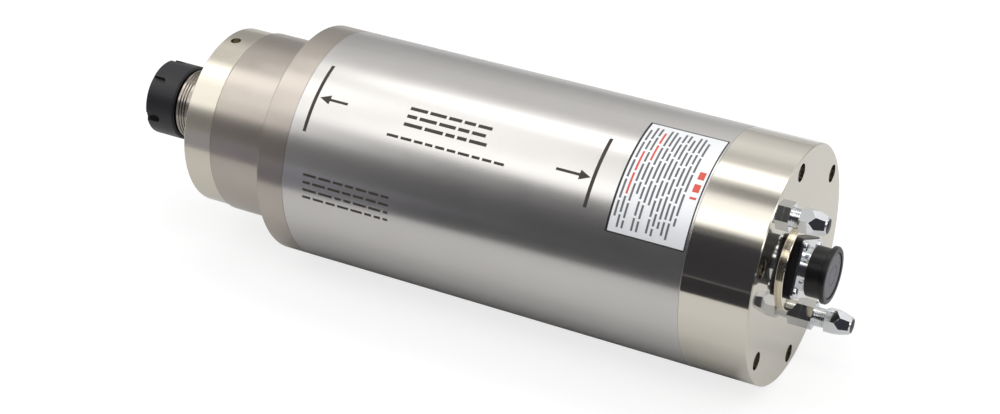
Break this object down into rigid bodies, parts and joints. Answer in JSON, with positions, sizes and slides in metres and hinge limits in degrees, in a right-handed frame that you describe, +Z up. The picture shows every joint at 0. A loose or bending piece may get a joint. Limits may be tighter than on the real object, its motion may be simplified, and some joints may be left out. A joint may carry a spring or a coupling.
{
  "type": "water-cooled motor spindle",
  "caption": "Cylindrical water-cooled milling motor with a slotted collet nut at its stepped nose and a rear cover with two coolant fittings and a capped round power socket.",
  "frame": {"origin": "on the spindle axis, halfway along the clamped sleeve", "axes": "X along the spindle axis, nose towards -X and socket end towards +X; +Z up"},
  "size_m": [0.406, 0.125, 0.125],
  "materials": {
    "ground_steel": "satin ground",
    "turned_steel": "fine turned",
    "polished_steel": "polished",
    "bright_plate": "bright plated",
    "black_oxide": "black oxide",
    "alloy": "machined",
    "bearing_steel": "ground",
    "lamination": "laminated",
    "copper": "enamelled wire",
    "black_rubber": "matt",
    "seal_rubber": "matt",
    "cage_resin": "moulded",
    "insert_resin": "moulded",
    "contact_brass": "plated",
    "lead_sleeve": "silicone",
    "screw_steel": "bright"
  },
  "bodies": {
    "housing": {"outer_sleeve": "ground_steel", "cooling_jacket": "alloy", "jacket_seals": "seal_rubber", "front_housing": "turned_steel", "front_housing_screws": "screw_steel", "nose_cap": "polished_steel", "rear_housing": "alloy", "preload_spring": "bearing_steel", "rear_cover": "polished_steel", "rear_cover_screws": "screw_steel", "stator_core": "lamination", "stator_winding": "copper", "outer_spacer": "bearing_steel", "socket_boss": "polished_steel", "socket_gasket": "black_rubber", "socket_shell": "bright_plate", "socket_screws": "bright_plate", "socket_insert": "insert_resin", "socket_pins": "contact_brass", "phase_leads": "lead_sleeve", "upper_fitting": "bright_plate", "lower_fitting": "bright_plate", "front_bearing_1_outer_ring": "bearing_steel", "front_bearing_2_outer_ring": "bearing_steel", "rear_bearing_outer_ring": "bearing_steel"},
    "rotor": {"shaft": "turned_steel", "slinger": "alloy", "rotor_core": "lamination", "rotor_end_rings": "alloy", "front_lock_nut": "bearing_steel", "rear_lock_nut": "bearing_steel", "inner_spacer": "bearing_steel", "front_bearing_1_inner_ring": "bearing_steel", "front_bearing_2_inner_ring": "bearing_steel", "rear_bearing_inner_ring": "bearing_steel"},
    "collet": {"collet": "bearing_steel"},
    "collet_nut": {"collet_nut": "black_oxide"},
    "upper_ferrule": {"upper_ferrule": "bright_plate"},
    "upper_tube_nut": {"upper_tube_nut": "bright_plate"},
    "lower_ferrule": {"lower_ferrule": "bright_plate"},
    "lower_tube_nut": {"lower_tube_nut": "bright_plate"},
    "dust_cap": {"dust_cap": "black_rubber"},
    "front_bearing_1_ball_set": {"front_bearing_1_balls": "bearing_steel", "front_bearing_1_cage": "cage_resin"},
    "front_bearing_2_ball_set": {"front_bearing_2_balls": "bearing_steel", "front_bearing_2_cage": "cage_resin"},
    "rear_bearing_ball_set": {"rear_bearing_balls": "bearing_steel", "rear_bearing_cage": "cage_resin"}
  },
  "joints": [
    {"name": "spindle_spin", "type": "hinge", "parent": "housing", "child": "rotor", "pos_m": [0, 0, 0], "axis": [-1, 0, 0], "continuous": true},
    {"name": "front_bearing_1_roll", "type": "hinge", "parent": "housing", "child": "front_bearing_1_ball_set", "pos_m": [0, 0, 0], "axis": [-1, 0, 0], "continuous": true},
    {"name": "front_bearing_2_roll", "type": "hinge", "parent": "housing", "child": "front_bearing_2_ball_set", "pos_m": [0, 0, 0], "axis": [-1, 0, 0], "continuous": true},
    {"name": "rear_bearing_roll", "type": "hinge", "parent": "housing", "child": "rear_bearing_ball_set", "pos_m": [0, 0, 0], "axis": [-1, 0, 0], "continuous": true},
    {"name": "collet_draw", "type": "slide", "parent": "rotor", "child": "collet", "axis": [-1, 0, 0], "range_m": [0, 0.012]},
    {"name": "collet_nut_turn", "type": "hinge", "parent": "collet", "child": "collet_nut", "pos_m": [-0.221, 0, 0], "axis": [-1, 0, 0], "range_deg": [0, 2890]},
    {"name": "upper_ferrule_draw", "type": "slide", "parent": "housing", "child": "upper_ferrule", "axis": [1, 0, 0], "range_m": [0, 0.00726]},
    {"name": "upper_tube_nut_turn", "type": "hinge", "parent": "upper_ferrule", "child": "upper_tube_nut", "pos_m": [0.164, -0.01958, 0.03996], "axis": [1, 0, 0], "range_deg": [0, 2890]},
    {"name": "lower_ferrule_draw", "type": "slide", "parent": "housing", "child": "lower_ferrule", "axis": [1, 0, 0], "range_m": [0, 0.00726]},
    {"name": "lower_tube_nut_turn", "type": "hinge", "parent": "lower_ferrule", "child": "lower_tube_nut", "pos_m": [0.169, 0.01958, -0.03996], "axis": [1, 0, 0], "range_deg": [0, 2890]},
    {"name": "dust_cap_pull", "type": "slide", "parent": "housing", "child": "dust_cap", "axis": [1, 0, 0], "range_m": [0, 0.03]}
  ],
  "couplings": [
    {"joint": "front_bearing_1_roll", "follows": "spindle_spin", "ratio": 0.4164},
    {"joint": "front_bearing_2_roll", "follows": "spindle_spin", "ratio": 0.4164},
    {"joint": "rear_bearing_roll", "follows": "spindle_spin", "ratio": 0.4088},
    {"joint": "collet_nut_turn", "follows": "collet_draw", "rad_per_m": 4188.8},
    {"joint": "upper_tube_nut_turn", "follows": "upper_ferrule_draw", "rad_per_m": 6927.4},
    {"joint": "lower_tube_nut_turn", "follows": "lower_ferrule_draw", "rad_per_m": 6927.4}
  ]
}
